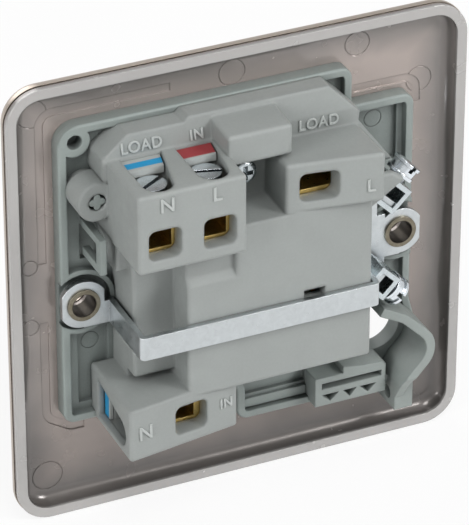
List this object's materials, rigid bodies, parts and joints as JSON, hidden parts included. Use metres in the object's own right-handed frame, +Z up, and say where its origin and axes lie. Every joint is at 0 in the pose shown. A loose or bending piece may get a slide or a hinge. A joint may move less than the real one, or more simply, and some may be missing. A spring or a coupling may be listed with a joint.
{
  "type": "fused connection unit",
  "caption": "Switched fused connection unit seen from its wiring side: square metal plate, rocker, pull-out fuse carrier, cord outlet, caged terminals and an earth strap.",
  "frame": {"origin": "middle of the square plate, in the plane of the wall it is screwed to, half way between the two fixing holes", "axes": "+X right and +Z up as seen from the room, +Y into the wall box"},
  "size_m": [0.086, 0.0268, 0.086],
  "materials": {
    "plate_metal": "brushed",
    "liner_plastic": "semi-gloss",
    "moulding_plastic": "fine satin",
    "cover_plastic": "fine satin",
    "strap_zinc": "zinc plated, dull",
    "screw_zinc": "bright zinc",
    "brass": "clean",
    "copper": "clean",
    "blue_plastic": "satin",
    "red_plastic": "satin",
    "white_plastic": "gloss",
    "fuse_ceramic": "glazed",
    "spring_steel": "bright",
    "silver_tip": "bright"
  },
  "bodies": {
    "base": {"front_plate": "plate_metal", "plate_liner": "liner_plastic", "front_moulding": "moulding_plastic", "rear_cover": "cover_plastic", "cord_guide": "cover_plastic", "earth_strap": "strap_zinc", "fixing_eyelets": "brass", "upper_earth_clamp": "brass", "lower_earth_clamp": "brass", "load_neutral_terminal": "brass", "supply_live_terminal": "brass", "supply_neutral_terminal": "brass", "load_live_terminal": "brass", "load_neutral_flag": "blue_plastic", "supply_live_flag": "red_plastic", "supply_neutral_flag": "blue_plastic", "cover_screw": "screw_zinc", "fixed_contact_tips": "silver_tip", "live_supply_link": "copper", "neutral_supply_link": "copper", "live_switch_link": "copper", "neutral_switch_link": "copper", "load_link": "copper", "upper_fuse_clip": "copper", "lower_fuse_clip": "copper"},
    "rocker": {"rocker": "white_plastic", "rocker_plungers": "white_plastic", "plunger_springs": "spring_steel"},
    "live_arm": {"live_contact_arm": "copper", "live_contact_tip": "silver_tip"},
    "neutral_arm": {"neutral_contact_arm": "copper", "neutral_contact_tip": "silver_tip"},
    "fuse_carrier": {"fuse_carrier": "white_plastic", "fuse_tube": "fuse_ceramic", "fuse_caps": "screw_zinc"},
    "load_neutral_screw": {"load_neutral_screw": "screw_zinc"},
    "supply_live_screw": {"supply_live_screw": "screw_zinc"},
    "supply_neutral_screw": {"supply_neutral_screw": "screw_zinc"},
    "load_live_screw": {"load_live_screw": "screw_zinc"},
    "upper_earth_screw": {"upper_earth_screw": "screw_zinc"},
    "lower_earth_screw": {"lower_earth_screw": "screw_zinc"}
  },
  "joints": [
    {"name": "rocker_hinge", "type": "hinge", "parent": "base", "child": "rocker", "pos_m": [0.0092, -0.0008, 0.001], "axis": [1, 0, 0], "range_deg": [0, 14]},
    {"name": "live_arm_hinge", "type": "hinge", "parent": "base", "child": "live_arm", "pos_m": [0.0063, 0.0086, 0.001], "axis": [1, 0, 0], "range_deg": [-16, 0]},
    {"name": "neutral_arm_hinge", "type": "hinge", "parent": "base", "child": "neutral_arm", "pos_m": [0.0121, 0.0086, 0.001], "axis": [1, 0, 0], "range_deg": [-16, 0]},
    {"name": "fuse_carrier_slide", "type": "slide", "parent": "base", "child": "fuse_carrier", "axis": [0, -1, 0], "range_m": [0, 0.015]},
    {"name": "load_neutral_screw_slide", "type": "slide", "parent": "base", "child": "load_neutral_screw", "axis": [0, 0, -1], "range_m": [0, 0.002]},
    {"name": "supply_live_screw_slide", "type": "slide", "parent": "base", "child": "supply_live_screw", "axis": [0, 0, -1], "range_m": [0, 0.002]},
    {"name": "supply_neutral_screw_slide", "type": "slide", "parent": "base", "child": "supply_neutral_screw", "axis": [-1, 0, 0], "range_m": [0, 0.002]},
    {"name": "load_live_screw_slide", "type": "slide", "parent": "base", "child": "load_live_screw", "axis": [1, 0, 0], "range_m": [0, 0.002]},
    {"name": "upper_earth_screw_slide", "type": "slide", "parent": "base", "child": "upper_earth_screw", "axis": [0.7071, 0, -0.7071], "range_m": [0, 0.0008]},
    {"name": "lower_earth_screw_slide", "type": "slide", "parent": "base", "child": "lower_earth_screw", "axis": [0.7071, 0, 0.7071], "range_m": [0, 0.0008]}
  ],
  "couplings": [
    {"joint": "live_arm_hinge", "follows": "rocker_hinge", "ratio": -1.1429},
    {"joint": "neutral_arm_hinge", "follows": "rocker_hinge", "ratio": -1.1429}
  ]
}
